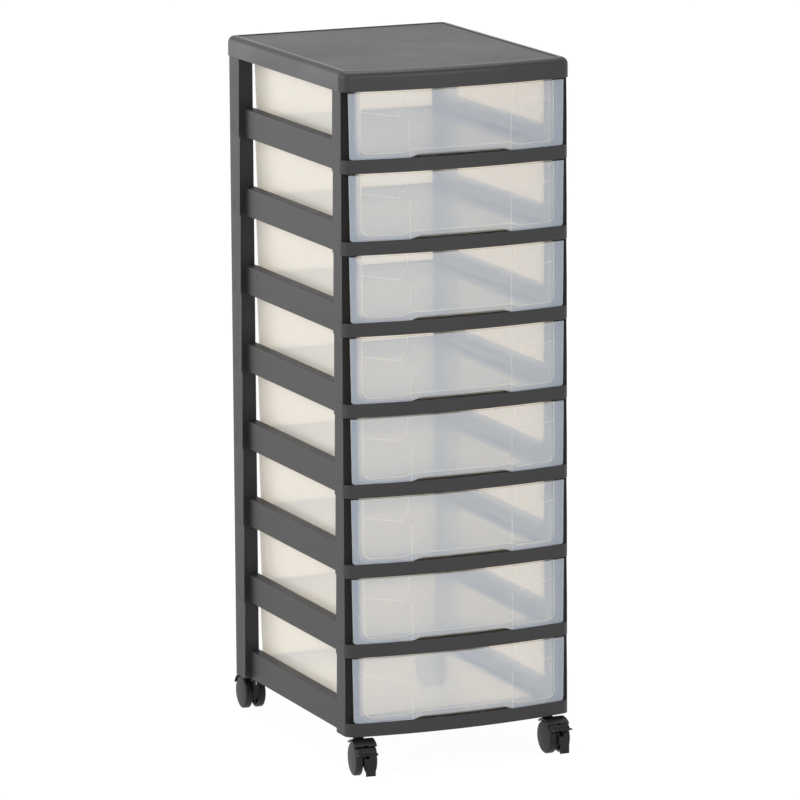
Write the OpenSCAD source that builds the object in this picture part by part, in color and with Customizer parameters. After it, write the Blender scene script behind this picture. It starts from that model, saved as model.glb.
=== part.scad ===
// Plastic drawer tower: eight stacking tiers with clear drawers, a top cover and four twin-wheel casters.
// Millimetres, +Z up, front towards -Y.
// The origin is on the floor under the middle of the whole tower, casters included.

/* [Body] */
// Width across the tiers
body_w = 287; // [280:1:310]
// Depth of the tiers at their sides
side_d = 353; // [335:1:380]
// How far the front bows out beyond its corners
bow = 14.5; // [8:0.5:18]
// Number of tiers, with one drawer in each
tiers = 8; // [3:1:8]
// Height of one tier
tier_h = 95; // [90:1:120]
// Radius of the front corners in plan
front_r = 11.5; // [10:0.5:11.5]
// Radius of the back corners in plan
back_r = 11; // [10.5:0.5:14]

/* [Tier frame] */
// Wall thickness of the tier moulding
wall = 2.2; // [1.8:0.1:2.6]
// Height of the front divider and of the back rail
divider_h = 16; // [14:0.5:20]
// Depth of the web on top of the divider
divider_web = 30; // [27:0.5:34]
// Depth of the web on top of the back rail
back_web = 20; // [14:0.5:26]
// Height of a side rail
rail_h = 34; // [30:0.5:38]
// How far a side rail is set in from the posts
rail_inset = 7.6; // [7:0.1:9.5]
// Clearance between the ledge of a side rail and the drawer
ledge_gap = 1; // [0.6:0.1:2]
// Width of the runner shelf that carries the drawer
shelf_w = 25; // [22:0.5:30]
// Width of a post across the tower
post_w = 18.5; // [17.6:0.1:19]
// Depth of a front post along the side
post_d = 25; // [24:0.5:30]
// Depth of a back post
back_post_d = 37; // [33:0.5:40]
// How far the front posts stand back from the front corners
post_setback = 6; // [5:0.5:8]
// How much narrower a post is at its top than at its foot
post_draft = 1.1; // [0.4:0.1:1.3]
// Diameter of the spigot on top of a post
spigot_d = 9.6; // [8.4:0.1:10]
// Height of that spigot
spigot_h = 12; // [9:0.5:16]
// Wall round a socket
socket_wall = 1.6; // [1.2:0.1:1.8]
// Depth of the sockets under the posts
socket_h = 20; // [18:0.5:26]
// Wall round a caster socket
stem_wall = 3; // [2:0.1:3.4]
// Clearance all round a spigot in its socket
socket_gap = 0.1; // [0.05:0.01:0.2]
// Thickness of the ribs
rib_t = 1.8; // [1.4:0.1:2.2]
// Diameter of a stop pad on a front post
pad_d = 6; // [4:0.5:8]
// Clearance between a stop pad and the closed drawer
pad_gap = 0.5; // [0.4:0.1:1]

/* [Cover] */
// Height of the cover
cover_h = 23.5; // [22:0.5:30]
// How far the cover overhangs the tiers
cover_lip = 1.2; // [0.6:0.1:2]
// Radius on the upper edge of the cover
cover_edge_r = 8; // [5:0.5:8]
// Width of the raised rim around the top
cover_rim = 9.5; // [8.5:0.1:10]
// How far the top lies below that rim
cover_sink = 0.9; // [0.5:0.1:1.4]
// Number of stiffening ribs under the top
cover_ribs = 4; // [2:1:6]
// Depth of those ribs
cover_rib_h = 9; // [6:0.5:14]

/* [Drawer] */
// Clearance between the tub and a post
tub_side_gap = 1; // [0.6:0.1:1.6]
// How far the tub's sides lean in towards the floor
tub_draft = 2.3; // [1:0.1:3]
// Radius of the tub's back corners in plan
tub_corner_r = 40; // [25:1:50]
// Radius of the tub's front corners in plan
tub_front_r = 9; // [6:0.5:12]
// Radius between the tub's floor and its walls
tub_floor_r = 8; // [5:0.5:9]
// Wall thickness of the tub
tub_wall = 2; // [1.4:0.1:2.2]
// Clearance between the tub and the back of the tier
tub_back_gap = 8; // [5:0.5:12]
// Running clearance under the drawer
run_gap = 0.3; // [0.2:0.05:0.5]
// Clearance above the drawer
top_gap = 1.8; // [1:0.1:2.6]
// Thickness of the front plate
plate_t = 2.5; // [2:0.1:3]
// Distance from the side of the tier to the edge of the front plate
plate_margin = 8; // [7:0.5:9.5]
// How far the front plate lies behind the face of the divider
plate_inset = 0.4; // [0.2:0.1:1]
// How far the plate's sides lean in towards its lower edge
plate_draft = 1.2; // [0.4:0.1:2]
// Radius on the lower corners of the plate
plate_r = 3; // [2:0.5:6]
// Half width of the finger arch in the lower edge
arch_half = 65; // [50:1:75]
// Run of the curve at each end of the arch
arch_run = 15; // [10:1:20]
// Height of the finger arch
arch_h = 4; // [2:0.5:6]

/* [Casters] */
// Height from the floor to the lowest tier
caster_h = 46; // [45.5:0.5:52]
// Distance of the swivel axes from the sides of the tower
caster_side = 21.5; // [20.5:0.5:24.5]
// Distance of the swivel axes from the front corners and from the back
caster_inset = 17; // [16:0.5:19]
// Diameter of a wheel
wheel_d = 39.6; // [38:0.2:40]
// Width of a wheel
wheel_w = 9.4; // [8.6:0.2:10]
// Distance from the swivel axis to the axle
trail = 17; // [16:0.5:18]
// Thickness of the web between the wheels
web_t = 8; // [7.6:0.2:9]
// Clearance between a wheel and the web
wheel_gap = 0.5; // [0.3:0.1:0.8]
// Diameter of the axle
axle_d = 5; // [4:0.1:6]
// Running clearance of a pin in its bore, on the radius
pin_gap = 0.05; // [0.02:0.01:0.1]
// Clearance between the hood and the wheels
hood_gap = 1.2; // [0.9:0.1:1.4]
// Thickness of the hood
hood_t = 2; // [1.6:0.1:2.2]
// Diameter of the stem in the socket of a tier
stem_d = 8; // [7:0.1:8.6]
// Clearance over the end of the stem in its socket
stem_end_gap = 1.8; // [0.5:0.1:3]
// Thickness of the collar on the stem
collar_t = 1.6; // [1.2:0.1:2]
// Diameter of that collar
collar_d = 13; // [11.6:0.2:14]
// Clearance between the collar and the housing
swivel_gap = 0.3; // [0.2:0.05:0.5]
// Diameter of the stem inside the housing
pivot_d = 5.4; // [4.6:0.1:5.6]
// Radius of the web round the axle
web_r = 11; // [9:0.5:13]
// Thickness of the closed face of a wheel
wheel_face = 2.4; // [2:0.1:3]
// How far that face is domed
wheel_dome = 1.2; // [0.4:0.1:2]
// Diameter of a wheel's hub
hub_d = 10.4; // [9:0.2:12]
// Number of ribs inside a wheel
wheel_ribs = 6; // [4:1:8]
// Width of the brake pedal
pedal_w = 24; // [20:0.2:25]
// How far the lip of the brake pedal stands out
pedal_lip = 2.6; // [1.6:0.1:3.4]
// Angle through which a brake pedal turns
pedal_swing = 12; // [8:1:14]

/* [Hidden] */
$fn = 96;
bow_fn = 720;
floor_steps = 5; // steps round the lower edges of the tub
front_steps = 6; // steps round its front corners
edge_turn = 12; // steps round a corner of the cover
edge_bow = 20; // steps along its bow
edge_steps = 5; // steps round its upper edge
eps = 0.02; // overlap between solids of one moulding
cut = 1; // run-out of a cut beyond the face it opens

body_y = -6; // middle of the tiers: the casters reach further out at the back than in front
half_w = body_w / 2;
total_d = side_d + bow;
front_y = body_y - total_d / 2;
corner_y = front_y + bow;
back_y = body_y + total_d / 2;
bow_r = (half_w * half_w + bow * bow) / (2 * bow);
bow_cy = front_y + bow_r;
front_cx = half_w - front_r;
bow_half_angle = asin(front_cx / (bow_r - front_r));
front_cy = bow_cy - (bow_r - front_r) * cos(bow_half_angle);
back_cx = half_w - back_r;
back_cy = back_y - back_r;

stack_h = tiers * tier_h;
post_in = half_w - post_w; // inner face of a post
front_post_y = corner_y + post_setback; // front face of a front post
back_post_y = back_y - back_post_d; // front face of a back post
post_x = half_w - post_w / 2;
front_spigot_y = front_post_y + post_d / 2;
back_spigot_y = back_y - back_post_d / 2;
post_places = [[front_spigot_y, post_d], [back_spigot_y, back_post_d]]; // middle and depth of each
rail_x = half_w - rail_inset; // outer face of a side rail
shelf_x = rail_x - shelf_w; // inner edge of a runner shelf
shelf_top = divider_h;
shelf_z = shelf_top - wall;
rail_front_y = front_post_y + post_d - wall;
rail_back_y = back_post_y + wall;

tub_half = post_in - tub_side_gap; // half width at the upper edge
tub_back = back_y - tub_back_gap; // back of the tub at the upper edge
tub_z = shelf_top + run_gap; // underside of the tub
tub_h = tier_h - top_gap - tub_z;
ledge_x = tub_half + ledge_gap - tub_draft * (1 - (rail_h - tub_z) / tub_h);
plate_r_out = bow_r - plate_inset;
plate_r_in = plate_r_out - plate_t;
plate_half = half_w - plate_margin; // half width at the upper edge
corner_slack = 0.4; // how far the plan of the tub's front corners stands clear of its sides
bow_slack = 0.05; // and of the bow in front

wheel_r = wheel_d / 2;
tyre_t = 3.4; // thickness of the wheel's tread
tread_r = 2; // radius on its outer edge
hood_in = wheel_r + hood_gap;
hood_out = hood_in + hood_t;
caster_w = web_t + 2 * (wheel_gap + wheel_w);
boss_top = caster_h - collar_t - swivel_gap;
boss_bottom = wheel_r + sqrt(wheel_r * wheel_r - pow(trail - collar_d / 2, 2)) + wheel_gap;
pivot_grip = 5; // length of the stem inside the web
pivot_bottom = boss_bottom - pivot_grip;
hood_front = 24; // angle of the front edge of the hood above the axle, seen from the side
hood_back = 128; // angle of its back edge
pedal_top = 43; // angle of the upper edge of the pedal
pedal_slit = 7; // angle between the pedal and the hood above it
pedal_reach = 10; // distance of the pedal's axis in front of the axle
pedal_rise = 12; // and above it
pedal_y = -trail - pedal_reach;
pedal_z = wheel_r + pedal_rise;
pedal_pin_d = 3;
pedal_arm = 3.6; // thickness of the pedal's arm
pedal_arm_r = 2.8; // radius of its round end
arm_gap = 0.4; // clearance beside and round the arm
guard_x = [-2, 9.5]; // sides of the brake guard
guard_z = 3; // its lower edge
guard_t = 2;
pedal_room = 4; // angle by which the web ends below the pedal
caster_x = half_w - caster_side;
front_caster_y = corner_y + caster_inset;
back_caster_y = back_y - caster_inset;

tier_ids = [for (i = [1:tiers]) i];
corner_ids = ["front_left", "front_right", "back_left", "back_right"];
front_ids = ["front_left", "front_right"];

frame_colour = [0.30, 0.30, 0.31];
drawer_colour = [0.86, 0.88, 0.88, 0.6];
caster_colour = [0.22, 0.22, 0.23];
steel_colour = [0.70, 0.71, 0.72];

// Height of the underside of tier i, counted from the top
function tier_z(i) = caster_h + (tiers - i) * tier_h;
// Where a caster's swivel axis stands
function caster_at(c) = [
    (c == "front_left" || c == "back_left") ? -caster_x : caster_x,
    (c == "front_left" || c == "front_right") ? front_caster_y : back_caster_y
];
// Which way a caster points at rest: the axle lies in front of the stem at 0
function caster_turn(c) = c == "front_left" ? -7 : c == "front_right" ? 1 : c == "back_left" ? 178 : 184;
// Whether a caster has a brake
function is_braked(c) = c == "front_left" || c == "front_right";
// How far the brake pedal is lifted at rest
function pedal_rest(c) = c == "front_right" ? pedal_swing : 0;

// ---- plan outline of the tower ----

// The plan, moved inwards by inset: straight sides, a bowed front and round corners
module plan(inset = 0) {
    reach = bow_r - inset;
    bow_half = reach * sin(bow_half_angle);
    translate([inset - half_w, front_cy]) square([body_w - 2 * inset, back_cy - front_cy]);
    translate([-back_cx, front_cy]) square([2 * back_cx, back_y - inset - front_cy]);
    intersection() {
        translate([0, bow_cy]) circle(r = reach, $fn = bow_fn);
        translate([-bow_half, front_y - 2 * cut]) square([2 * bow_half, front_cy - front_y + 4 * cut]);
    }
    for (side = [-1, 1]) {
        translate([side * front_cx, front_cy]) circle(r = front_r - inset);
        translate([side * back_cx, back_cy]) circle(r = back_r - inset);
    }
}

// Points along an arc, from angle a0 to a1 in n steps, of which the last is left out if open is 1
function arc(centre, r, a0, a1, n, open = 0) = [
    for (k = [0:n - open]) let (a = a0 + (a1 - a0) * k / n) centre + r * [cos(a), sin(a)]
];

// A box between two corners
module block(low, high) {
    translate(low) cube(high - low);
}

// The same child at both sides of the tower
module both_sides() {
    children();
    mirror([1, 0, 0]) children();
}

// The region outside a rounded edge of radius r whose corner is at the origin
module edge_waste(r) {
    difference() {
        translate([-r, -r]) square(r + cut);
        translate([-r, -r]) circle(r);
    }
}

// ---- tier frame ----

// Outer solid of the four posts, moved inwards by inset, leaning in towards the top
module post_solids(inset, low, high) {
    side_low = half_w - inset + post_draft * -low / tier_h;
    side_high = half_w - inset - post_draft * high / tier_h;
    back_low = back_y - inset + post_draft * -low / tier_h;
    back_high = back_y - inset - post_draft * high / tier_h;
    intersection() {
        translate([0, 0, low]) linear_extrude(high - low) plan(inset);
        translate([0, back_y, 0]) rotate([90, 0, 0]) linear_extrude(total_d)
            polygon([[-side_low, low], [side_low, low], [side_high, high], [-side_high, high]]);
        translate([-half_w, 0, 0]) rotate([90, 0, 90]) linear_extrude(body_w)
            polygon([[front_y, low], [back_low, low], [back_high, high], [front_y, high]]);
        both_sides() {
            block([post_in + inset, front_post_y + inset, low], [half_w + cut, front_post_y + post_d - inset, high]);
            block([post_in + inset, back_post_y + inset, low], [half_w + cut, back_y + cut, high]);
        }
    }
}

// Bowed front divider: a channel with its open side down
module front_divider() {
    back = corner_y + divider_web;
    difference() {
        intersection() {
            linear_extrude(divider_h) plan();
            block([-half_w, front_y - cut, 0], [half_w, back, divider_h]);
        }
        intersection() {
            translate([0, 0, -cut]) linear_extrude(shelf_z + cut) plan(wall);
            block([-half_w, front_y, -cut], [half_w, back - wall, shelf_z]);
        }
    }
}

// Back rail: the same channel along the straight back
module back_rail() {
    difference() {
        intersection() {
            linear_extrude(divider_h) plan();
            block([-half_w, back_y - back_web, 0], [half_w, back_y + cut, divider_h]);
        }
        intersection() {
            translate([0, 0, -cut]) linear_extrude(shelf_z + cut) plan(wall);
            block([-half_w, back_y - back_web + wall, -cut], [half_w, back_y + cut, shelf_z]);
        }
    }
}

// Side rail: outer wall, ledge on top and the runner shelf inside
module side_rail() {
    y0 = rail_front_y;
    y1 = rail_back_y;
    both_sides() {
        difference() {
            block([ledge_x, y0, rail_h - wall], [rail_x, y1, rail_h]);
            translate([rail_x, y1 + cut, rail_h]) rotate([90, 0, 0])
                linear_extrude(y1 - y0 + 2 * cut) edge_waste(wall / 2);
        }
        block([rail_x - wall, y0, 0], [rail_x, y1, rail_h - wall + eps]);
        block([post_in, y0, shelf_z], [rail_x - eps, y1, shelf_top]);
        block([shelf_x, corner_y + divider_web - wall, shelf_z], [post_in + eps, back_y - back_web + wall, shelf_top]);
    }
}

// Sockets under the posts for the spigots of the tier below, tied to the walls by ribs
module post_sockets() {
    od = spigot_d + 2 * (socket_gap + socket_wall);
    both_sides()
        for (post = post_places)
            translate([post_x, post.x, 0]) {
                reach = post.y / 2 - wall + eps;
                cylinder(d = od, h = socket_h);
                block([-rib_t / 2, -reach, 0], [rib_t / 2, reach, socket_h]);
            }
}

module post_socket_bores() {
    both_sides()
        for (y = [front_spigot_y, back_spigot_y])
            translate([post_x, y, -cut]) cylinder(d = spigot_d + 2 * socket_gap, h = socket_h + 2 * cut);
}

// Places its children on the four swivel axes
module at_casters() {
    for (c = corner_ids)
        translate(concat(caster_at(c), [0])) children();
}

// Sockets for the stems of the casters
module caster_sockets() {
    at_casters() cylinder(d = stem_d + 2 * stem_wall, h = shelf_z + eps);
    intersection() {
        linear_extrude(shelf_z + eps) plan(wall - eps);
        for (x = [-caster_x, caster_x]) {
            block([x - rib_t / 2, front_y, 0], [x + rib_t / 2, corner_y + divider_web, shelf_z + eps]);
            block([x - rib_t / 2, back_y - back_web, 0], [x + rib_t / 2, back_y, shelf_z + eps]);
        }
    }
}

module caster_socket_bores() {
    at_casters() translate([0, 0, -cut]) cylinder(d = stem_d + 2 * pin_gap, h = shelf_z + cut);
}

// Spigots on top of the posts, with a chamfered end
module spigots(z) {
    lead = 1;
    both_sides()
        for (y = [front_spigot_y, back_spigot_y])
            translate([post_x, y, z - eps]) {
                cylinder(d = spigot_d, h = spigot_h - lead + eps);
                translate([0, 0, spigot_h - lead]) cylinder(d1 = spigot_d, d2 = spigot_d - 2 * lead, h = lead + eps);
            }
}

// Pads on the front posts that stop the closing drawer
module stop_pads() {
    x = plate_half - plate_draft - pad_d;
    edge = x + pad_d / 2;
    plate_back = bow_cy - sqrt(plate_r_in * plate_r_in - edge * edge);
    both_sides()
        for (z = [tub_z + pad_d, tub_z + tub_h - 2 * pad_d])
            translate([x, front_post_y + eps, z])
                rotate([90, 0, 0]) cylinder(d = pad_d, h = front_post_y - plate_back - pad_gap);
}

module tier_frame() {
    color(frame_colour) {
        difference() {
            union() {
                difference() {
                    union() {
                        front_divider();
                        back_rail();
                        side_rail();
                        post_solids(0, 0, tier_h);
                    }
                    post_solids(wall, -cut, tier_h - wall);
                }
                post_sockets();
                caster_sockets();
            }
            post_socket_bores();
            caster_socket_bores();
        }
        spigots(tier_h);
        stop_pads();
    }
}

// ---- top cover ----

// The plan as points, moved inwards by inset
function plan_points(inset) = concat(
    arc([-front_cx, front_cy], front_r - inset, 180, 270 - bow_half_angle, edge_turn, 1),
    arc([0, bow_cy], bow_r - inset, 270 - bow_half_angle, 270 + bow_half_angle, edge_bow, 1),
    arc([front_cx, front_cy], front_r - inset, 270 + bow_half_angle, 360, edge_turn),
    arc([back_cx, back_cy], back_r - inset, 0, 90, edge_turn),
    arc([-back_cx, back_cy], back_r - inset, 90, 180, edge_turn)
);

// Outer form of the cover, moved inwards by inset, from low up to its rounded upper edge
module cover_solid(inset, low) {
    r = cover_edge_r - inset;
    turned = [
        for (k = [0:edge_steps])
            let (a = 90 * k / edge_steps) [inset - cover_lip + r * (1 - cos(a)), cover_h - inset - r * (1 - sin(a))]
    ];
    rings = concat([[inset - cover_lip, low]], turned);
    n = len(plan_points(0));
    m = len(rings);
    polyhedron(
        points = [for (ring = rings) for (p = plan_points(ring.x)) [p.x, p.y, ring.y]],
        faces = concat(
            [[for (j = [0:n - 1]) j], [for (j = [n - 1:-1:0]) (m - 1) * n + j]],
            [for (i = [0:m - 2]) for (j = [0:n - 1])
                [i * n + j, (i + 1) * n + j, (i + 1) * n + (j + 1) % n, i * n + (j + 1) % n]]
        )
    );
}

module cover_sockets() {
    od = spigot_d + 2 * (socket_gap + socket_wall);
    top = cover_h - cover_sink - wall + eps;
    both_sides()
        for (y = [front_spigot_y, back_spigot_y])
            translate([post_x, y, 0])
                difference() {
                    cylinder(d = od, h = top);
                    translate([0, 0, -cut]) cylinder(d = spigot_d + 2 * socket_gap, h = spigot_h + 2 * cut);
                }
}

// Lands that rest on the posts, and stiffening ribs under the top
module cover_lands() {
    top = cover_h - cover_sink - wall + eps;
    span = body_w - 2 * cover_rim;
    pitch = side_d / (cover_ribs + 1);
    both_sides()
        for (post = post_places)
            block([post_x - rib_t / 2, post.x - post.y / 2 + wall, 0], [post_x + rib_t / 2, post.x + post.y / 2 - wall, top]);
    for (i = [1:cover_ribs])
        block([-span / 2, corner_y + i * pitch, top - cover_rib_h], [span / 2, corner_y + i * pitch + rib_t, top]);
}

module top_cover() {
    color(frame_colour) {
        difference() {
            cover_solid(0, 0);
            difference() {
                cover_solid(wall, -cut);
                translate([0, 0, cover_h - cover_sink - wall]) linear_extrude(wall) plan(cover_rim - wall);
            }
            translate([0, 0, cover_h - cover_sink]) linear_extrude(cut + cover_sink) plan(cover_rim);
        }
        difference() {
            cover_lands();
            both_sides()
                for (y = [front_spigot_y, back_spigot_y])
                    translate([post_x, y, -cut]) cylinder(d = spigot_d + 2 * socket_gap, h = spigot_h + 2 * cut);
        }
        cover_sockets();
    }
}

// ---- drawer ----

// Upright section of the tub's wall and floor, with its upper outer edge at x = 0 and the floor at y = 0.
// It leans in by lean over the height, has a bottom radius r and reaches inwards to x = -reach.
module tub_section(lean, height, r, reach) {
    slope = atan2(lean, height);
    centre = [-lean - r * tan(45 - slope / 2), r];
    polygon(concat(
        [[-reach, 0]],
        arc(centre, r, -90, -slope, floor_steps),
        [[0, height], [-reach, height]]
    ));
}

// The tub as a solid: its section along both sides and the back, turned round the back corners.
// The wall moves inwards by inset, the floor rises by lift and the top is cut at height.
module tub_solid(inset, lift, height, r) {
    side = tub_half - inset;
    back = tub_back - inset;
    reach = tub_corner_r - inset;
    cx = side - reach;
    cy = back - reach;
    translate([0, 0, tub_z + lift]) {
        for (m = [0, 1])
            mirror([m, 0, 0]) {
                translate([side, cy, 0]) rotate([90, 0, 0])
                    linear_extrude(cy - front_y) tub_section(tub_draft, height, r, reach);
                translate([cx, cy, 0]) rotate_extrude(angle = 90)
                    translate([reach, 0]) tub_section(tub_draft, height, r, reach);
            }
        rotate([0, 0, 90]) translate([back, cx, 0]) rotate([90, 0, 0])
            linear_extrude(2 * cx) tub_section(tub_draft, height, r, reach);
        block([-cx, front_y, 0], [cx, cy, height]);
    }
}

// Everything inside the bow at a radius, above z, with its lower edge rounded
module inside_bow(radius, z, r) {
    translate([0, bow_cy, z])
        rotate_extrude($fn = bow_fn)
            polygon(concat(
                [[0, 0]],
                arc([radius - r, r], r, -90, 0, floor_steps),
                [[radius, tier_h], [0, tier_h]]
            ));
}

// Plan that rounds the tub's front corners to radius r: its sides stand at half, its front is open to the bow
module rounded_front(half, reach, r) {
    cx = half - r;
    cy = bow_cy - sqrt((reach - r) * (reach - r) - cx * cx);
    turn = atan2(cy - bow_cy, cx);
    corner = arc([cx, cy], r, 0, turn, front_steps);
    last = corner[front_steps];
    polygon(concat(
        [[half, back_y]],
        corner,
        [[0, last.y + last.x * cos(turn) / sin(turn)]],
        [for (k = [front_steps:-1:0]) [-corner[k].x, corner[k].y]],
        [[-half, back_y]]
    ));
}

// The lower edge of the plate from the middle outwards, as a smooth step at each end of the arch
function arch_step(u) = (1 - cos(180 * u)) / 2;
function arch_points() = [
    for (k = [0:8]) [arch_half - arch_run * k / 8, arch_h * arch_step(k / 8)]
];

// Outline of the front plate seen from the front
module plate_outline() {
    low = tub_z;
    high = tub_z + tub_h;
    foot = plate_half - plate_draft;
    points = arch_points();
    difference() {
        union() {
            polygon([
                [-foot + plate_r, low], [foot - plate_r, low],
                [foot, low + plate_r], [plate_half, high],
                [-plate_half, high], [-foot, low + plate_r]
            ]);
            for (side = [-1, 1])
                translate([side * (foot - plate_r), low + plate_r]) circle(plate_r);
        }
        translate([0, low])
            polygon(concat(
                [[arch_half, -cut]],
                points,
                [for (k = [len(points) - 1:-1:0]) [-points[k].x, points[k].y]],
                [[-arch_half, -cut]]
            ));
    }
}

module front_plate() {
    intersection() {
        translate([0, corner_y + divider_web, 0]) rotate([90, 0, 0])
            linear_extrude(divider_web + bow + cut) plate_outline();
        translate([0, bow_cy, 0])
            difference() {
                cylinder(r = plate_r_out, h = tier_h, $fn = bow_fn);
                translate([0, 0, -cut]) cylinder(r = plate_r_in, h = tier_h + 2 * cut, $fn = bow_fn);
            }
    }
}

// Open tub with a bowed front plate that overlaps the tier on every side
module drawer() {
    inner_r = tub_floor_r - tub_wall;
    inner_front_r = tub_front_r - tub_wall / 4;
    color(drawer_colour)
        difference() {
            union() {
                front_plate();
                intersection() {
                    tub_solid(0, 0, tub_h, tub_floor_r);
                    inside_bow(plate_r_in + plate_t / 2, tub_z, tub_floor_r);
                    linear_extrude(tier_h)
                        rounded_front(tub_half + corner_slack, plate_r_in + plate_t / 2 + bow_slack, tub_front_r);
                }
            }
            intersection() {
                tub_solid(tub_wall, tub_wall, tub_h, inner_r);
                inside_bow(plate_r_out - tub_wall, tub_z + tub_wall, inner_r);
                linear_extrude(tier_h + cut)
                    rounded_front(tub_half - tub_wall + corner_slack, plate_r_out - tub_wall + bow_slack, inner_front_r);
            }
        }
}

// ---- casters, with the swivel axis at the origin and the axle in front of it ----

// Turns a plan drawn with its axis along Z so that the axis lies along X.
// Angles then count from the front (-Y) upwards.
module on_axle() {
    translate([0, -trail, wheel_r]) rotate([0, 90, 0]) children();
}

// A wedge of a plan between two of those angles
module from_to(a, b) {
    rotate([0, 0, -90 - b]) rotate_extrude(angle = b - a) children();
}

module caster_stem() {
    color(steel_colour) {
        translate([0, 0, pivot_bottom]) cylinder(d = pivot_d, h = caster_h - collar_t - pivot_bottom + eps);
        translate([0, 0, caster_h - collar_t]) cylinder(d = collar_d, h = collar_t);
        translate([0, 0, caster_h - eps]) cylinder(d = stem_d, h = shelf_z - stem_end_gap + eps);
    }
}

// The web between the wheels, seen from the side and set across the middle
module housing_web() {
    rotate([90, 0, 90]) translate([0, 0, -web_t / 2]) linear_extrude(web_t) {
        translate([-trail, wheel_r]) circle(web_r);
        intersection() {
            translate([-trail, wheel_r]) circle(hood_in + eps);
            translate([-trail - hood_out, wheel_r]) square([hood_out + trail, hood_out]);
        }
        translate([-trail, wheel_r - web_r / 2]) square([trail + pivot_d / 2, web_r / 2 + boss_bottom - wheel_r + eps]);
    }
}

// The hood over the wheels, from angle a to angle b
module hood(a, b, width) {
    on_axle() from_to(a, b) difference() {
        translate([hood_in, -width / 2]) square([hood_t, width]);
        for (side = [-1, 1])
            translate([hood_out, side * width / 2])
                scale([1, side]) edge_waste(hood_t / 2);
    }
}

// Space in the web in which the pedal's arm swings
module arm_slot() {
    r = pedal_arm_r + arm_gap;
    reach = hood_out;
    rotate([90, 0, 90]) translate([pedal_y, pedal_z, -pedal_arm / 2 - arm_gap])
        linear_extrude(pedal_arm + 2 * arm_gap) {
            circle(r);
            polygon([[0, -r], [-reach, -r - reach * 0.35], [-reach, r + reach * 0.75], [0, r]]);
        }
}

// Guard in front of the wheels, on the casters that have a brake
module brake_guard() {
    y = -trail - wheel_r - hood_gap - guard_t;
    top = wheel_r + hood_in * sin(hood_front) - arm_gap;
    block([guard_x[0], y, guard_z], [guard_x[1], y + guard_t, top]);
    block([-web_t / 2, y + eps, wheel_r - web_r / 2], [web_t / 2, -trail, wheel_r + web_r / 2]);
}

module caster_housing(braked) {
    color(caster_colour)
        difference() {
            union() {
                housing_web();
                hood(braked ? pedal_top + pedal_slit : hood_front, hood_back, caster_w);
                translate([0, 0, boss_bottom]) cylinder(d = collar_d, h = boss_top - boss_bottom);
                if (braked) brake_guard();
            }
            translate([0, 0, pivot_bottom - swivel_gap])
                cylinder(d = pivot_d + 2 * pin_gap, h = boss_top);
            on_axle() cylinder(d = axle_d + 2 * pin_gap, h = web_t + 2 * cut, center = true);
            if (braked) {
                arm_slot();
                on_axle() from_to(hood_front - pedal_room, pedal_top + pedal_slit / 2)
                    translate([hood_in - arm_gap, -web_t]) square([hood_t, 2 * web_t]);
                translate([0, pedal_y, pedal_z]) rotate([0, 90, 0])
                    cylinder(d = pedal_pin_d + 2 * pin_gap, h = web_t + 2 * cut, center = true);
            }
        }
}

module caster_axle() {
    color(steel_colour)
        on_axle() cylinder(d = axle_d, h = caster_w - 2 * wheel_face - 2 * swivel_gap, center = true);
}

// Section of a wheel: x is the radius and y runs from the inner face to the closed face
module wheel_section() {
    dome_r = (wheel_r * wheel_r + wheel_dome * wheel_dome) / (2 * wheel_dome);
    difference() {
        intersection() {
            square([wheel_r, wheel_w]);
            translate([0, wheel_w - dome_r]) circle(dome_r, $fn = bow_fn);
        }
        translate([wheel_r, wheel_w - wheel_dome]) edge_waste(tread_r);
        translate([wheel_r, 0]) mirror([0, 1]) edge_waste(tread_r / 2);
        translate([hub_d / 2, -cut]) square([wheel_r - tyre_t - hub_d / 2, wheel_w - wheel_dome - wheel_face + cut]);
        translate([-cut, -cut]) square([axle_d / 2 + pin_gap + cut, wheel_w - wheel_face + cut]);
    }
}

// side is -1 for the left wheel and 1 for the right one
module caster_wheel(side) {
    rib_h = wheel_w - wheel_dome - wheel_face;
    color(caster_colour)
        on_axle() scale([1, 1, side]) translate([0, 0, web_t / 2 + wheel_gap]) {
            rotate_extrude() wheel_section();
            for (i = [1:wheel_ribs])
                rotate([0, 0, i * 360 / wheel_ribs])
                    block([hub_d / 2 - eps, -rib_t / 2, 1], [wheel_r - tyre_t + eps, rib_t / 2, rib_h + eps]);
        }
}

module brake_pedal(lift) {
    tip = wheel_r + hood_in * sin(hood_front);
    color(caster_colour)
        translate([0, pedal_y, pedal_z]) rotate([-lift, 0, 0]) translate([0, -pedal_y, -pedal_z]) {
            hood(hood_front, pedal_top, pedal_w);
            difference() {
                block([-pedal_w / 2, -trail - hood_out - pedal_lip, tip], [pedal_w / 2, -trail - hood_in, tip + hood_t]);
                on_axle() cylinder(r = hood_in, h = caster_w, center = true);
            }
            rotate([90, 0, 90]) translate([0, 0, -pedal_arm / 2]) linear_extrude(pedal_arm) {
                translate([pedal_y, pedal_z]) circle(pedal_arm_r);
                polygon([
                    [pedal_y, pedal_z - pedal_arm_r], [-trail - hood_in * cos(hood_front + 4), tip + 1],
                    [-trail - hood_in * cos(pedal_top - 4), tip + 6], [pedal_y, pedal_z + pedal_arm_r]
                ]);
            }
            translate([0, pedal_y, pedal_z]) rotate([0, 90, 0])
                cylinder(d = pedal_pin_d, h = web_t, center = true);
        }
}

// Stands a part of caster c under its corner, turned as it stands at rest
module at_caster(c) {
    translate(concat(caster_at(c), [0])) rotate([0, 0, caster_turn(c)]) children();
}

// ---- assembly ----

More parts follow.
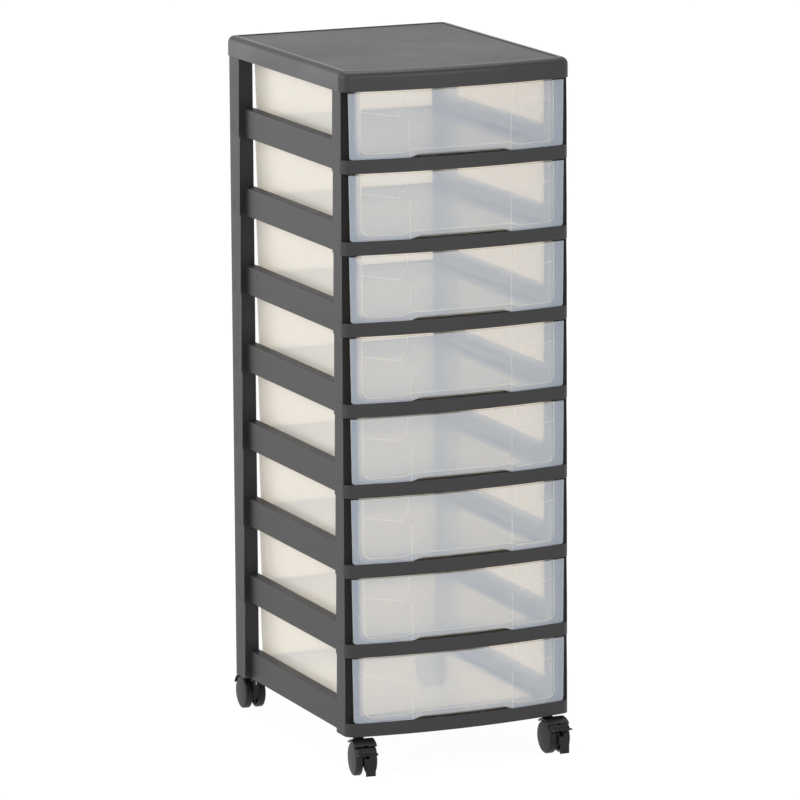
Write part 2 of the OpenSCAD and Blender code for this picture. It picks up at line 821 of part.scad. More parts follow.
translate([0, 0, caster_h + stack_h]) top_cover();
for (i = tier_ids) translate([0, 0, tier_z(i)]) tier_frame();
for (i = tier_ids) translate([0, 0, tier_z(i)]) drawer();
for (c = corner_ids) at_caster(c) caster_stem();
for (c = corner_ids) at_caster(c) caster_housing(is_braked(c));
for (c = corner_ids) at_caster(c) caster_axle();
for (c = corner_ids) at_caster(c) caster_wheel(-1);
for (c = corner_ids) at_caster(c) caster_wheel(1);
for (c = front_ids) at_caster(c) brake_pedal(pedal_rest(c));
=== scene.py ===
"""Looks for a drawer tower on four casters: softened mouldings, frosted drawers and a plain studio.

Every length is in metres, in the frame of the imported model.
"""

import logging
import math
from dataclasses import dataclass
from enum import Enum
from typing import Mapping, Optional, Sequence, Union

import bpy
from mathutils import Matrix, Vector


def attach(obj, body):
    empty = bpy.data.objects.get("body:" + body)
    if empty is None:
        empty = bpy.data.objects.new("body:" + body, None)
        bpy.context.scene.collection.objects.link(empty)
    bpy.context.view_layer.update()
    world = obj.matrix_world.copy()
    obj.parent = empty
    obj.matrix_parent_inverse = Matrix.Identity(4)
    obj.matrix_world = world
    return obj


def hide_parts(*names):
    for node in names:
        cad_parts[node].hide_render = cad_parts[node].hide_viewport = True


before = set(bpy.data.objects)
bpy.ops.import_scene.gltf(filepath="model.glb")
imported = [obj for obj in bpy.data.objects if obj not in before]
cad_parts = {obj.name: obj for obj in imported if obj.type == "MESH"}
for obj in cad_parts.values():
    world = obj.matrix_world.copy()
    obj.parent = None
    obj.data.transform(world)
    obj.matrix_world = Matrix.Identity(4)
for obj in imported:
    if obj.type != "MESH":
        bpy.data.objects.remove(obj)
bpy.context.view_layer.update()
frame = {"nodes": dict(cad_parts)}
TIERS = 8
LOG = logging.getLogger("drawer_tower")

Colour = tuple[float, float, float, float]
Feed = Union["Signal", bpy.types.NodeSocket, float, Sequence[float]]


class Slot(Enum):
    """Names of the record's material slots, handed along with each finish."""

    COVER = "cover_plastic"
    FRAME = "frame_plastic"
    DRAWER = "clear_plastic"
    CASTER = "caster_plastic"


class Corner(Enum):
    """The four corners that carry a caster."""

    FRONT_LEFT = "front_left"
    FRONT_RIGHT = "front_right"
    BACK_LEFT = "back_left"
    BACK_RIGHT = "back_right"

    @property
    def braked(self) -> bool:
        """True for the two front casters, which have a brake pedal."""
        return self in (Corner.FRONT_LEFT, Corner.FRONT_RIGHT)


def paint(red: int, green: int, blue: int) -> Colour:
    """A linear colour from three display values of 0 to 255.

    Args:
        red: The red value.
        green: The green value.
        blue: The blue value.

    Returns:
        The colour with full alpha, as a shader socket takes it.
    """

    def linear(value: float) -> float:
        """One channel made linear."""
        return value / 12.92 if value <= 0.04045 else ((value + 0.055) / 1.055) ** 2.4

    return (linear(red / 255), linear(green / 255), linear(blue / 255), 1.0)


class Signal:
    """An output socket of a shader, on which arithmetic can be written."""

    def __init__(self, bench: "ShaderBench", socket: bpy.types.NodeSocket) -> None:
        """Wraps a socket of the bench's node tree."""
        self.bench = bench
        self.socket = socket

    def _joined(self, operation: str, first: Feed, second: Feed) -> "Signal":
        """A Math node on two values.

        Args:
            operation: The Math node's operation.
            first: Its first value.
            second: Its second value.

        Returns:
            The node's result.
        """
        node = self.bench.add("ShaderNodeMath", {"operation": operation}, {0: first, 1: second})
        return Signal(self.bench, node.outputs[0])

    def __add__(self, other: Feed) -> "Signal":
        """The sum."""
        return self._joined("ADD", self, other)

    def __radd__(self, other: Feed) -> "Signal":
        """The sum, reflected."""
        return self._joined("ADD", other, self)

    def __sub__(self, other: Feed) -> "Signal":
        """The difference."""
        return self._joined("SUBTRACT", self, other)

    def __rsub__(self, other: Feed) -> "Signal":
        """The difference, reflected."""
        return self._joined("SUBTRACT", other, self)

    def __mul__(self, other: Feed) -> "Signal":
        """The product."""
        return self._joined("MULTIPLY", self, other)

    def __rmul__(self, other: Feed) -> "Signal":
        """The product, reflected."""
        return self._joined("MULTIPLY", other, self)

    def __truediv__(self, other: Feed) -> "Signal":
        """The quotient."""
        return self._joined("DIVIDE", self, other)

    def __pow__(self, other: Feed) -> "Signal":
        """The power."""
        return self._joined("POWER", self, other)

    def size(self) -> "Signal":
        """The value without its sign."""
        return self._joined("ABSOLUTE", self, 0.0)

    def wrapped(self, length: float) -> "Signal":
        """The value started again at each multiple of a length."""
        return self._joined("MODULO", self, length)

    def positive(self) -> "Signal":
        """The value, or nought where it is below nought."""
        return self._joined("MAXIMUM", self, 0.0)

    def clamped(self) -> "Signal":
        """The value, held between 0 and 1."""
        node = self.bench.add("ShaderNodeClamp", {}, {"Value": self})
        return Signal(self.bench, node.outputs[0])


class ShaderBench:
    """The node tree of one material."""

    def __init__(self, name: str) -> None:
        """Starts an empty material of that name."""
        self.material = bpy.data.materials.new(name)
        self.material.use_nodes = True
        self.tree = self.material.node_tree
        self.tree.nodes.clear()

    def add(
        self,
        kind: str,
        settings: Optional[Mapping[str, object]] = None,
        sockets: Optional[Mapping[Union[str, int], Feed]] = None,
    ) -> bpy.types.Node:
        """Adds a node.

        Args:
            kind: The node's type.
            settings: Its properties, which are set first.
            sockets: Values or links for its input sockets.

        Returns:
            The node.
        """
        node = self.tree.nodes.new(kind)
        for key, value in (settings or {}).items():
            setattr(node, key, value)
        for key, value in (sockets or {}).items():
            self._feed(node.inputs[key], value)
        return node

    def _feed(self, socket: bpy.types.NodeSocket, value: Feed) -> None:
        """Links a socket, or sets its value.

        Args:
            socket: The input socket.
            value: A signal or socket to link, or a plain value.
        """
        if isinstance(value, Signal):
            self.tree.links.new(value.socket, socket)
        elif isinstance(value, bpy.types.NodeSocket):
            self.tree.links.new(value, socket)
        else:
            socket.default_value = value

    def place(self) -> bpy.types.NodeSocket:
        """The point on the object, in its own coordinates."""
        return self.add("ShaderNodeTexCoord").outputs["Object"]

    def stretched(self, scale: Sequence[float]) -> bpy.types.NodeSocket:
        """The point on the object, with its axes scaled.

        Args:
            scale: One factor for each axis.

        Returns:
            The scaled point.
        """
        node = self.add("ShaderNodeMapping", {}, {"Vector": self.place(), "Scale": scale})
        return node.outputs["Vector"]

    def noise(
        self, scale: float, detail: float = 2.0, rough: float = 0.5,
        vector: Optional[bpy.types.NodeSocket] = None,
    ) -> Signal:
        """Noise from 0 to 1.

        Args:
            scale: Waves per metre.
            detail: Octaves.
            rough: Share that each further octave keeps.
            vector: Where it is read; the plain point if None.

        Returns:
            The noise.
        """
        node = self.add(
            "ShaderNodeTexNoise", {},
            {
                "Vector": vector or self.place(),
                "Scale": scale,
                "Detail": detail,
                "Roughness": rough,
            },
        )
        return Signal(self, node.outputs[0])

    def ranged(self, value: Feed, low: float, high: float, start: float, end: float) -> Signal:
        """A value carried from one range to another, and held there.

        Args:
            value: The value.
            low: Where the first range starts.
            high: Where it ends.
            start: The result at low.
            end: The result at high.

        Returns:
            The result.
        """
        node = self.add(
            "ShaderNodeMapRange", {"clamp": True},
            {"Value": value, "From Min": low, "From Max": high, "To Min": start, "To Max": end},
        )
        return Signal(self, node.outputs[0])

    def mixed(self, share: Feed, first: Feed, second: Feed) -> bpy.types.NodeSocket:
        """Two colours mixed.

        Args:
            share: How much of the second there is.
            first: The first colour.
            second: The second colour.

        Returns:
            The mixed colour.
        """
        node = self.add("ShaderNodeMix", {"data_type": "RGBA"}, {0: share, 6: first, 7: second})
        return node.outputs[2]

    def bump(
        self, height: Feed, depth: float, strength: float = 1.0,
        under: Optional[bpy.types.NodeSocket] = None,
    ) -> bpy.types.NodeSocket:
        """A normal that follows a height.

        Args:
            height: The height, from 0 to 1.
            depth: What a height of 1 is, in metres.
            strength: Share of the effect.
            under: A normal that this one is laid over; the surface's own if None.

        Returns:
            The normal.
        """
        node = self.add(
            "ShaderNodeBump", {}, {"Height": height, "Distance": depth, "Strength": strength}
        )
        if under is not None:
            self._feed(node.inputs["Normal"], under)
        return node.outputs["Normal"]

    def finish(self, shader: bpy.types.NodeSocket) -> bpy.types.Material:
        """Links the shader to the output.

        Args:
            shader: The shader socket that the surface shows.

        Returns:
            The finished material.
        """
        self.add("ShaderNodeOutputMaterial", {}, {"Surface": shader})
        return self.material


@dataclass(frozen=True)
class Lip:
    """The outline of the raised rim of the cover, where a paler highlight line is painted and the
    gloss is raised.
    """

    half: float
    front: float
    bow: float
    back: float
    width: float
    turn: float = 0.004
    full_share: float = 0.4

    def painted_lip_highlight(self, bench: "ShaderBench") -> Signal:
        """Where the highlight line is painted along the lip.

        Args:
            bench: The material's node tree.

        Returns:
            1 on the lip, 0 elsewhere.
        """
        split = bench.add("ShaderNodeSeparateXYZ", {}, {0: bench.place()})
        side = Signal(bench, split.outputs["X"]).size()
        depth = Signal(bench, split.outputs["Y"])
        front = (side / self.half) ** 2.0 * self.bow + self.front
        middle = (front + self.back) * 0.5
        reach = self.back - middle
        across = (side - (self.half - self.turn)).positive()
        along = ((depth - middle).size() - (reach - self.turn)).positive()
        away = ((across ** 2.0 + along ** 2.0) ** 0.5 - self.turn).size()
        return bench.ranged(away, self.width * self.full_share, self.width, 1.0, 0.0)


# Near-black painted shade for the post front faces that lie back between the dividers.
RECESS_PAINTED_SHADE: Colour = (0.003, 0.003, 0.003, 1.0)
# Pale colour of the painted highlight along the cover's lip.
LIP_HIGHLIGHT: Colour = (0.22, 0.22, 0.22, 1.0)
COVER_LIP = Lip(half=0.1355, front=-0.1817, bow=0.0145, back=0.1697, width=0.0011)


@dataclass(frozen=True)
class MouldedPlastic:
    """Opaque polypropylene with a fine spark-eroded grain, cloudy gloss and rubbed marks; where
    set, a painted highlight along the lip and painted shade on front faces that lie back.
    """

    name: str
    colour: Colour
    pale: Colour
    roughness: float
    sheen_change: float = 0.08
    grain_scale: float = 1900.0
    grain_depth: float = 0.00004
    cloud_scale: float = 9.0
    flow_stretch: tuple[float, float, float] = (1.0, 1.0, 1.0)
    rub_share: float = 0.35
    ior: float = 1.49
    grain_tint: float = 0.12
    grain_gloss: float = 0.05
    cloud_span: tuple[float, float] = (0.3, 0.7)
    cloud_tint: float = 0.5
    rub_scale: float = 60.0
    rub_stretch: tuple[float, float, float] = (1.0, 0.12, 0.5)
    rub_span: tuple[float, float] = (0.58, 0.75)
    rub_tint: float = 0.5
    rub_gloss: float = 0.12
    lip: Optional[Lip] = None
    lip_highlight_share: float = 0.8
    lip_gloss: float = 0.12
    recess: Optional[tuple[float, float]] = None
    recess_half: float = 0.1424
    recess_fade: float = 0.0004
    recess_spread: float = 1.4
    recess_gloss: float = 0.4

    def painted_recess_shade(self, bench: ShaderBench) -> Signal:
        """The front faces that lie back between the dividers, where painted shade is laid.

        Args:
            bench: The material's node tree.

        Returns:
            1 on them, 0 elsewhere.
        """
        split = bench.add("ShaderNodeSeparateXYZ", {}, {0: bench.place()})
        side = Signal(bench, split.outputs["X"]).size()
        depth = Signal(bench, split.outputs["Y"])
        place, reach = self.recess
        near = bench.ranged(
            (depth - place).size(), reach, reach * self.recess_spread, 1.0, 0.0
        )
        edge = self.recess_half
        return near * bench.ranged(side, edge, edge + self.recess_fade, 1.0, 0.0)

    def made(self) -> bpy.types.Material:
        """The material."""
        bench = ShaderBench(self.name)
        flow = bench.stretched(self.flow_stretch)
        cloud = bench.noise(self.cloud_scale, 4.0, 0.55, flow)
        speckle = bench.noise(self.grain_scale, 2.0, 0.6)
        rubs = bench.noise(self.rub_scale, 6.0, 0.7, bench.stretched(self.rub_stretch))
        rubbed = bench.ranged(rubs, *self.rub_span, 0.0, self.rub_share)
        tone = bench.ranged(cloud, *self.cloud_span, 0.0, self.cloud_tint)
        paled = (tone + rubbed * self.rub_tint + speckle * self.grain_tint).clamped()
        colour = bench.mixed(paled, self.colour, self.pale)
        if self.recess is not None:
            # Painted shade: the post front faces that lie back are darkened to near black.
            painted_recess_shade = self.painted_recess_shade(bench)
            colour = bench.mixed(painted_recess_shade, colour, RECESS_PAINTED_SHADE)
        gloss = cloud * self.sheen_change + (self.roughness - 0.5 * self.sheen_change)
        if self.lip is not None:
            # Painted highlight: a paler, glossier line along the cover's lip.
            painted_lip_highlight = self.lip.painted_lip_highlight(bench)
            colour = bench.mixed(painted_lip_highlight * self.lip_highlight_share, colour, LIP_HIGHLIGHT)
            gloss = gloss - painted_lip_highlight * self.lip_gloss
        if self.recess is not None:
            gloss = gloss + painted_recess_shade * self.recess_gloss
        roughness = gloss + rubbed * self.rub_gloss + speckle * self.grain_gloss
        shader = bench.add(
            "ShaderNodeBsdfPrincipled", {},
            {
                "Base Color": colour,
                "Roughness": roughness.clamped(),
                "Normal": bench.bump(speckle, self.grain_depth),
                "IOR": self.ior,
            },
        )
        return bench.finish(shader.outputs[0])


@dataclass(frozen=True)
class FrostedPlastic:
    """Clear polypropylene that warms what is behind it and scatters part of the light.

    It passes less, and scatters a warmer light, where it is seen at a slant.

    The relief of the drawer front is part of it: two raised shoulders, each bounded by a line that
    rises outwards and by a curve, and the shallow field of the finger pull between them.
    """

    name: str
    clear: Colour
    clear_grazing: Colour
    grazing_start: float = 0.2
    grazing_end: float = 0.8
    roughness: float = 0.2
    mirror: float = 0.035
    passed_share: float = 0.5
    milk_tone: tuple[float, float, float] = (1.0, 0.98, 0.94)
    grazing_tone: tuple[float, float, float] = (0.95, 0.88, 0.77)
    streak_scale: float = 9.0
    streak_stretch: tuple[float, float, float] = (1.0, 1.0, 2.2)
    streak_share: float = 0.2
    speckle_scale: float = 1500.0
    speckle_gloss: float = 0.04
    mirror_power: float = 5.0
    wave_depth: float = 0.00012
    wave_strength: float = 0.5
    tier_foot: float = 0.046
    tier_pitch: float = 0.095
    relief: float = 0.0003
    # At the relief's edge lines the wall passes little light and scatters a whiter light: painted
    # highlight lines over a real bump.
    highlight_line_share: float = 0.34
    clear_highlight_line: Colour = (0.06, 0.05, 0.04, 1.0)
    line_width: float = 0.0009
    full_share: float = 0.4
    shoulder_side: float = 0.0682
    shoulder_turn: tuple[float, float, float] = (0.0675, 0.078, 0.0085)
    shoulder_foot: tuple[float, float] = (0.0515, 0.165)
    pull_half: float = 0.064
    pull_top: float = 0.06
    pull_share: float = 0.6
    front_zone: tuple[float, float] = (-0.176, -0.174)
    slope_end: float = 0.122
    faint_share: float = 0.45
    rim_half: float = 0.1215
    rim_turn: float = 0.008
    rim_foot: float = 0.0225
    arch_ends: tuple[float, float] = (0.062, 0.073)
    arch_rise: float = 0.0035

    def lines(self, bench: ShaderBench) -> Signal:
        """The edges of the relief of the drawer front, where its raised parts step down and painted
        highlight lines lie.

        Args:
            bench: The material's node tree.

        Returns:
            How much of each point lies on an edge, from 0 to 1.
        """
        split = bench.add("ShaderNodeSeparateXYZ", {}, {0: bench.place()})
        side = Signal(bench, split.outputs["X"]).size()
        level = (Signal(bench, split.outputs["Z"]) - self.tier_foot).wrapped(self.tier_pitch)
        front = bench.ranged(Signal(bench, split.outputs["Y"]), *self.front_zone, 1.0, 0.0)
        low, high, out = self.shoulder_turn
        curve = bench.ranged(level, low, high, self.shoulder_side + out, self.shoulder_side)
        foot, slope = self.shoulder_foot
        width = self.line_width
        from_curve = side - curve
        from_slope = level - (side * slope + foot)
        outside = bench.ranged(from_curve, -width, 0.0, 0.0, 1.0)
        over = bench.ranged(from_slope, -width, 0.0, 0.0, 1.0)
        on_curve = self.band(bench, from_curve) * over
        on_slope = self.band(bench, from_slope) * outside
        pull = bench.ranged(level - self.pull_top, 0.0, width, 1.0, 0.0)
        on_pull = self.band(bench, side - self.pull_half) * pull * self.pull_share
        turn = self.rim_turn
        arch = bench.ranged(side, *self.arch_ends, self.arch_rise, 0.0)
        past = (side - (self.rim_half - turn)).positive()
        down = (arch + (self.rim_foot + turn) - level).positive()
        on_rim = self.band(bench, (past ** 2.0 + down ** 2.0) ** 0.5 - turn)
        inside = bench.ranged(side, self.slope_end, self.slope_end + width, 1.0, 0.0)
        faint = (on_curve + on_slope * inside) * self.faint_share
        return (faint + on_pull + on_rim).clamped() * front

    def band(self, bench: ShaderBench, distance: Signal) -> Signal:
        """A soft line where a distance is nought.

        Args:
            bench: The material's node tree.
            distance: The signed distance from the line.

        Returns:
            1 on the line, 0 beside it.
        """
        width = self.line_width
        return bench.ranged(distance.size(), width * self.full_share, width, 1.0, 0.0)

    def wall(
        self,
        bench: ShaderBench,
        clear: Colour,
        tone: tuple[float, float, float],
        normal: bpy.types.NodeSocket,
    ) -> bpy.types.NodeSocket:
        """One face of the wall: what it lets through, and the rest scattered to both sides.

        Args:
            bench: The material's node tree.
            clear: The light that passes straight through.
            tone: The colour of the rest, which is scattered.
            normal: The normal of the scattering face.

        Returns:
            The shader of the face.
        """
        through = bench.add("ShaderNodeBsdfTransparent", {}, {"Color": clear})
        red, green, blue = ((1.0 - share) * tint for share, tint in zip(clear[:3], tone))
        milk = (red, green, blue, 1.0)
        skin = bench.add("ShaderNodeBsdfDiffuse", {}, {"Color": milk, "Normal": normal})
        glow = bench.add("ShaderNodeBsdfTranslucent", {}, {"Color": milk, "Normal": normal})
        scatter = bench.add(
            "ShaderNodeMixShader", {},
            {0: self.passed_share, 1: skin.outputs[0], 2: glow.outputs[0]},
        )
        both = bench.add(
            "ShaderNodeAddShader", {}, {0: through.outputs[0], 1: scatter.outputs[0]}
        )
        return both.outputs[0]

    def made(self) -> bpy.types.Material:
        """The material."""
        bench = ShaderBench(self.name)
        flow = bench.stretched(self.streak_stretch)
        streaks = bench.noise(self.streak_scale, 2.0, 0.4, flow)
        speckle = bench.noise(self.speckle_scale, 2.0, 0.6)
        weight = bench.add("ShaderNodeLayerWeight", {}, {"Blend": 0.5})
        facing = Signal(bench, weight.outputs["Facing"])
        grazing = bench.ranged(facing, self.grazing_start, self.grazing_end, 0.0, 1.0)
        slanted = (grazing + (streaks - 0.5) * self.streak_share).clamped()
        waved = bench.bump(streaks, self.wave_depth, self.wave_strength)
        lines = self.lines(bench)
        normal = bench.bump(lines, self.relief, 1.0, waved)
        roughness = (speckle * self.speckle_gloss + self.roughness).clamped()
        wall = bench.add(
            "ShaderNodeMixShader", {},
            {
                0: slanted,
                1: self.wall(bench, self.clear, self.milk_tone, normal),
                2: self.wall(bench, self.clear_grazing, self.grazing_tone, normal),
            },
        )
        # Painted highlight: the edge lines take a milkier, whiter wall.
        highlight_lined = bench.add(
            "ShaderNodeMixShader", {},
            {
                0: (lines * self.highlight_line_share).clamped(),
                1: wall.outputs[0],
                2: self.wall(bench, self.clear_highlight_line, self.milk_tone, normal),
            },
        )
        gloss = bench.add(
            "ShaderNodeBsdfAnisotropic", {}, {"Roughness": roughness, "Normal": normal}
        )
        rising = facing ** self.mirror_power
        mirror = (rising * (1.0 - self.mirror) + self.mirror).clamped()
        surface = bench.add(
            "ShaderNodeMixShader", {}, {0: mirror, 1: highlight_lined.outputs[0], 2: gloss.outputs[0]}
        )
        return bench.finish(surface.outputs[0])


@dataclass(frozen=True)
class DrawnSteel:
    """Bright zinc-plated steel with fine turning marks round it."""

    name: str
    colour: Colour = (0.55, 0.56, 0.58, 1.0)
    dulled: Colour = (0.42, 0.42, 0.44, 1.0)
    cloud_scale: float = 120.0
    roughness: float = 0.32
    mark_gloss: float = 0.2
    mark_depth: float = 0.00001
    marks: tuple[float, float, float] = (900.0, 900.0, 2600.0)

    def made(self) -> bpy.types.Material:
        """The material."""
        bench = ShaderBench(self.name)
        turned = bench.noise(1.0, 3.0, 0.6, bench.stretched(self.marks))
        cloud = bench.noise(self.cloud_scale, 3.0)
        shader = bench.add(
            "ShaderNodeBsdfPrincipled", {},
            {
                "Base Color": bench.mixed(cloud, self.colour, self.dulled),
                "Roughness": (turned - 0.5) * self.mark_gloss + self.roughness,
                "Metallic": 1.0,
                "Normal": bench.bump(turned, self.mark_depth),
            },
        )
        return bench.finish(shader.outputs[0])


@dataclass(frozen=True)
class StudioGround:
    """A pale floor that is white where it is seen and keeps a soft part of the shadow."""

    name: str
    shade_share: float = 0.06
    white_level: float = 1.02
    colour: Colour = (0.92, 0.92, 0.92, 1.0)

    def made(self) -> bpy.types.Material:
        """The material."""
        bench = ShaderBench(self.name)
        path = bench.add("ShaderNodeLightPath")
        seen = Signal(bench, path.outputs["Is Camera Ray"])
        mirrored = Signal(bench, path.outputs["Is Glossy Ray"])
        passed = Signal(bench, path.outputs["Is Transmission Ray"])
        share = (seen + mirrored + passed).clamped() * (1.0 - self.shade_share)
        lit = bench.add("ShaderNodeBsdfDiffuse", {}, {"Color": self.colour})
        white = bench.add("ShaderNodeEmission", {}, {"Strength": self.white_level})
        surface = bench.add(
            "ShaderNodeMixShader", {}, {0: share, 1: lit.outputs[0], 2: white.outputs[0]}
        )
        return bench.finish(surface.outputs[0])


@dataclass(frozen=True)
class Finishes:
    """Every finish of the tower, made once."""

    cover: bpy.types.Material
    frame: bpy.types.Material
    drawer: bpy.types.Material
    caster: bpy.types.Material
    wheel: bpy.types.Material
    steel: bpy.types.Material

    @classmethod
    def mixed_up(cls) -> "Finishes":
        """The finishes, with their colours."""
        charcoal, pale_charcoal = paint(30, 29, 32), paint(41, 39, 40)
        caster_black, wheel_black = paint(20, 20, 22), paint(18, 18, 20)
        pale_black = paint(30, 29, 30)
        nylon_ior = 1.33
        return cls(
            cover=MouldedPlastic(
                "cover_charcoal", charcoal, pale_charcoal, roughness=0.38,
                sheen_change=0.2, lip=COVER_LIP,
            ).made(),
            frame=MouldedPlastic(
                "frame_charcoal", charcoal, pale_charcoal, roughness=0.46,
                # recess places painted shade on the post front faces that lie back.
                flow_stretch=(1.0, 0.6, 1.6), recess=(-0.16925, 0.0006),
            ).made(),
            drawer=FrostedPlastic(
                "frosted_clear",
                clear=(0.75, 0.70, 0.60, 1.0),
                clear_grazing=(0.56, 0.51, 0.44, 1.0),
            ).made(),
            caster=MouldedPlastic(
                "caster_black", caster_black, pale_black, roughness=0.32,
                cloud_scale=40.0, ior=nylon_ior,
            ).made(),
            wheel=MouldedPlastic(
                "wheel_black", wheel_black, pale_black, roughness=0.42,
                cloud_scale=60.0, ior=nylon_ior,
            ).made(),
            steel=DrawnSteel("plated_steel").made(),
        )


class Workshop:
    """The hand tools that the sub-assemblies share."""

    weld = 2e-6
    smooth_limit = math.radians(38.0)

    @staticmethod
    def select_only(piece: bpy.types.Object) -> None:
        """Selects one object and makes it active.

        Args:
            piece: The object.
        """
        bpy.ops.object.select_all(action="DESELECT")
        piece.select_set(True)
        bpy.context.view_layer.objects.active = piece

    @classmethod
    def softened(
        cls, node: str, name: str, edge: float, segments: int = 2, sharp: float = 32.0
    ) -> bpy.types.Object:
        """A copy of a CAD node with its sharp edges rounded.

        Args:
            node: The CAD node.
            name: The new piece's name.
            edge: Width of the rounding.
            segments: Faces across it.
            sharp: Least angle, in degrees, of an edge that is rounded.

        Returns:
            The piece, which doesn't ride yet.
        """
        piece = bpy.data.objects.new(name, frame["nodes"][node].data.copy())
        bpy.context.scene.collection.objects.link(piece)
        cls.select_only(piece)
        bpy.ops.mesh.customdata_custom_splitnormals_clear()
        bpy.ops.object.mode_set(mode="EDIT")
        bpy.ops.mesh.select_all(action="SELECT")
        bpy.ops.mesh.remove_doubles(threshold=cls.weld)
        bpy.ops.object.mode_set(mode="OBJECT")
        rounding = piece.modifiers.new("rounding", "BEVEL")
        rounding.width = edge
        rounding.segments = segments
        rounding.limit_method = "ANGLE"
        rounding.angle_limit = math.radians(sharp)
        rounding.use_clamp_overlap = True
        rounding.loop_slide = True
        bpy.ops.object.modifier_apply(modifier=rounding.name)
        bpy.ops.object.shade_smooth_by_angle(angle=cls.smooth_limit)
        level = piece.modifiers.new("level", "WEIGHTED_NORMAL")
        level.keep_sharp = True
        bpy.ops.object.modifier_apply(modifier=level.name)
        return piece

    @staticmethod
    def dress(
        piece: bpy.types.Object, material: bpy.types.Material, slot: Slot, body: str, node: str
    ) -> None:
        """Gives a piece its finish and its body, and hides the CAD node that it stands for.

        Args:
            piece: The piece.
            material: Its finish.
            slot: The record's slot of that finish; not used.
            body: The CAD body that it rides on.
            node: The CAD node that it replaces.
        """
        piece.data.materials.clear()
        piece.data.materials.append(material)
        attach(piece, body)
        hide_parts(node)
        LOG.info("%s rides on %s, %d faces", piece.name, body, len(piece.data.polygons))

    @staticmethod
    def finish_node(node: str, material: bpy.types.Material) -> None:
        """Gives a CAD node that stays shown its finish.

        Args:
            node: The CAD node.
            material: The finish.
        """
        carried = frame["nodes"][node]
        if not carried.material_slots:
            carried.data.materials.append(material)
        for own in carried.material_slots:
            own.link = "OBJECT"
            own.material = material
        LOG.info("%s keeps its CAD form", node)


@dataclass
class TopCover:
    """The moulded cover that closes the stack."""

    edge: float = 0.0004

    def build(self, finishes: Finishes) -> None:
        """Softens and dresses the cover.

        Args:
            finishes: The tower's finishes.
        """
        cover = Workshop.softened("top_cover", "cover", self.edge)
        Workshop.dress(cover, finishes.cover, Slot.COVER, "tower", "top_cover")


@dataclass
class TierStack:
    """The eight open frames that carry the drawers."""

    tiers: int = TIERS
    edge: float = 0.0006

    def build(self, finishes: Finishes) -> None:
        """Softens and dresses each frame.

        Args:
            finishes: The tower's finishes.
        """
        for tier in range(1, self.tiers + 1):
            node = f"tier_frame_{tier}"
            piece = Workshop.softened(node, f"frame_{tier}", self.edge)
            Workshop.dress(piece, finishes.frame, Slot.FRAME, "tower", node)


@dataclass
class DrawerSet:
    """The eight frosted drawers."""

    drawers: int = TIERS
    edge: float = 0.0005

    def build(self, finishes: Finishes) -> None:
        """Softens and dresses each drawer.

        Args:
            finishes: The tower's finishes.
        """
        for number in range(1, self.drawers + 1):
            node = f"drawer_{number}"
            piece = Workshop.softened(node, f"frosted_drawer_{number}", self.edge)
            Workshop.dress(piece, finishes.drawer, Slot.DRAWER, node, node)


@dataclass
class CasterSet:
    """The four twin-wheel casters."""

    edge: float = 0.0003

    def build(self, finishes: Finishes) -> None:
        """Softens and dresses each caster.

        Args:
            finishes: The tower's finishes.
        """
        for corner in Corner:
            place = corner.value
            node = f"caster_housing_{place}"
            hood = Workshop.softened(node, f"caster_hood_{place}", self.edge)
            Workshop.dress(hood, finishes.caster, Slot.CASTER, f"caster_{place}", node)
            for side in ("left", "right"):
                node = f"{side}_wheel_{place}"
                wheel = Workshop.softened(node, f"{side}_roller_{place}", self.edge)
                Workshop.dress(wheel, finishes.wheel, Slot.CASTER, node, node)
            if corner.braked:
                node = f"brake_pedal_{place}"
                pedal = Workshop.softened(node, f"pedal_{place}", self.edge)
                Workshop.dress(pedal, finishes.caster, Slot.CASTER, node, node)
            Workshop.finish_node(f"caster_axle_{place}", finishes.steel)
            Workshop.finish_node(f"caster_stem_{place}", finishes.steel)


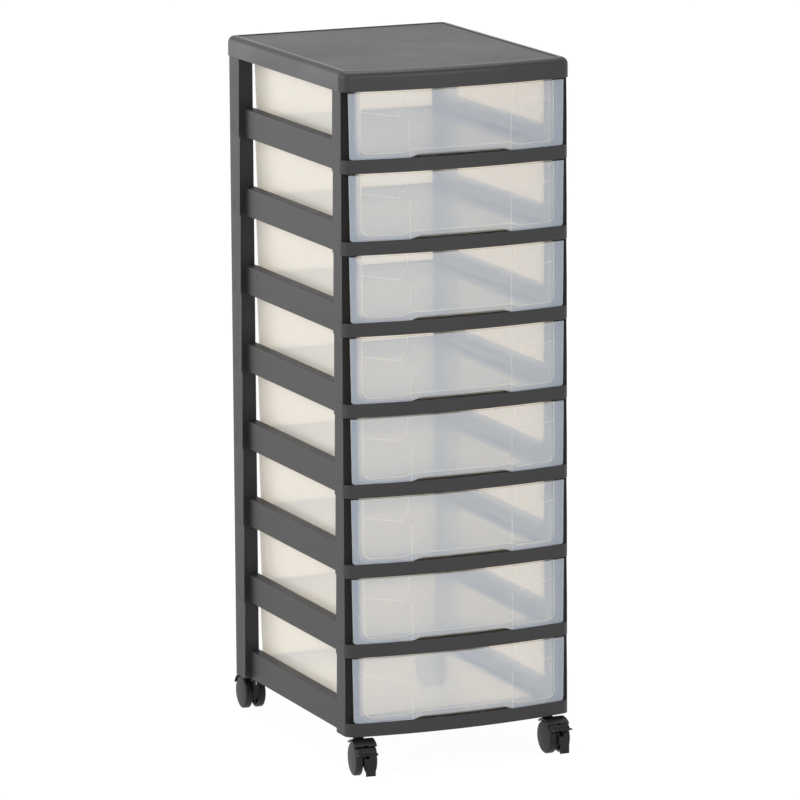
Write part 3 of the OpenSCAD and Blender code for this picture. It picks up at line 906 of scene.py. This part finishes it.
@dataclass
class Studio:
    """A white floor, broad soft lamps and the camera."""

    camera_place: tuple[float, float, float] = (-2.7364, -6.3030, 1.7753)
    yaw: float = -23.489
    pitch: float = 11.283
    roll: float = -0.362
    lens: float = 264.68
    sensor: float = 36.0
    clip: tuple[float, float] = (0.1, 300.0)
    floor_half: float = 40.0
    world_level: float = 1.0
    lamps: tuple[tuple[str, tuple[float, float, float], float, float], ...] = (
        ("left_panel", (-4.2, -0.6, 2.2), 3.0, 110.0),
        ("top_panel", (0.2, 0.6, 4.4), 3.0, 80.0),
        ("front_panel", (1.2, -4.6, 2.0), 2.4, 50.0),
        ("rear_panel", (-2.4, 3.8, 1.3), 2.6, 30.0),
    )
    aim: tuple[float, float, float] = (0.0, 0.0, 0.42)

    def place_camera(self) -> None:
        """Makes the camera and turns it by yaw, pitch and roll."""
        yaw, pitch, roll = (math.radians(a) for a in (self.yaw, self.pitch, self.roll))
        right = Vector((math.cos(yaw), math.sin(yaw), 0.0))
        ahead = Vector((
            -math.sin(yaw) * math.cos(pitch), math.cos(yaw) * math.cos(pitch), -math.sin(pitch)
        ))
        up = right.cross(ahead)
        across = right * math.cos(roll) + up * math.sin(roll)
        above = up * math.cos(roll) - right * math.sin(roll)
        data = bpy.data.cameras.new("camera")
        data.sensor_width = self.sensor
        data.lens = self.lens
        data.clip_start, data.clip_end = self.clip
        camera = bpy.data.objects.new("camera", data)
        bpy.context.scene.collection.objects.link(camera)
        turn = Matrix((across, above, -ahead)).transposed().to_4x4()
        camera.matrix_world = Matrix.Translation(self.camera_place) @ turn
        bpy.context.scene.camera = camera

    def lay_floor(self) -> None:
        """Lays the white floor, which is stage and not part of the tower."""
        bpy.ops.object.select_all(action="DESELECT")
        bpy.ops.mesh.primitive_plane_add(size=2 * self.floor_half)
        floor = bpy.context.active_object
        floor.name = "studio_floor"
        floor.data.materials.append(StudioGround("studio_white").made())

    def hang_lamps(self) -> None:
        """Hangs the soft panels, each turned to the middle of the tower."""
        for name, place, size, power in self.lamps:
            data = bpy.data.lights.new(name, "AREA")
            data.shape = "SQUARE"
            data.size = size
            data.energy = power
            lamp = bpy.data.objects.new(name, data)
            bpy.context.scene.collection.objects.link(lamp)
            lamp.location = place
            lamp.visible_camera = False
            lamp.visible_transmission = False
            facing = Vector(self.aim) - Vector(place)
            lamp.rotation_euler = facing.to_track_quat("-Z", "Y").to_euler()

    def light_world(self) -> None:
        """Makes the world white where it is seen and an even pale light elsewhere."""
        world = bpy.data.worlds.new("studio_world")
        bpy.context.scene.world = world
        world.use_nodes = True
        tree = world.node_tree
        tree.nodes.clear()
        path = tree.nodes.new("ShaderNodeLightPath")
        seen = tree.nodes.new("ShaderNodeMath")
        seen.operation = "MAXIMUM"
        tree.links.new(path.outputs["Is Camera Ray"], seen.inputs[0])
        tree.links.new(path.outputs["Is Transmission Ray"], seen.inputs[1])
        both = tree.nodes.new("ShaderNodeMath")
        both.operation = "MAXIMUM"
        tree.links.new(seen.outputs[0], both.inputs[0])
        tree.links.new(path.outputs["Is Glossy Ray"], both.inputs[1])
        level = tree.nodes.new("ShaderNodeMapRange")
        level.inputs["To Min"].default_value = self.world_level
        level.inputs["To Max"].default_value = 1.0
        tree.links.new(both.outputs[0], level.inputs["Value"])
        glow = tree.nodes.new("ShaderNodeBackground")
        tree.links.new(level.outputs[0], glow.inputs["Strength"])
        out = tree.nodes.new("ShaderNodeOutputWorld")
        tree.links.new(glow.outputs[0], out.inputs["Surface"])

    def build(self) -> None:
        """Sets up the whole studio."""
        self.place_camera()
        self.lay_floor()
        self.hang_lamps()
        self.light_world()
        bpy.context.scene.view_settings.view_transform = "Standard"


def main() -> None:
    """Builds the studio and the tower."""
    logging.basicConfig(level=logging.INFO, format="%(name)s: %(message)s")
    Studio().build()
    finishes = Finishes.mixed_up()
    TopCover().build(finishes)
    TierStack().build(finishes)
    DrawerSet().build(finishes)
    CasterSet().build(finishes)


if __name__ == "__main__":
    main()
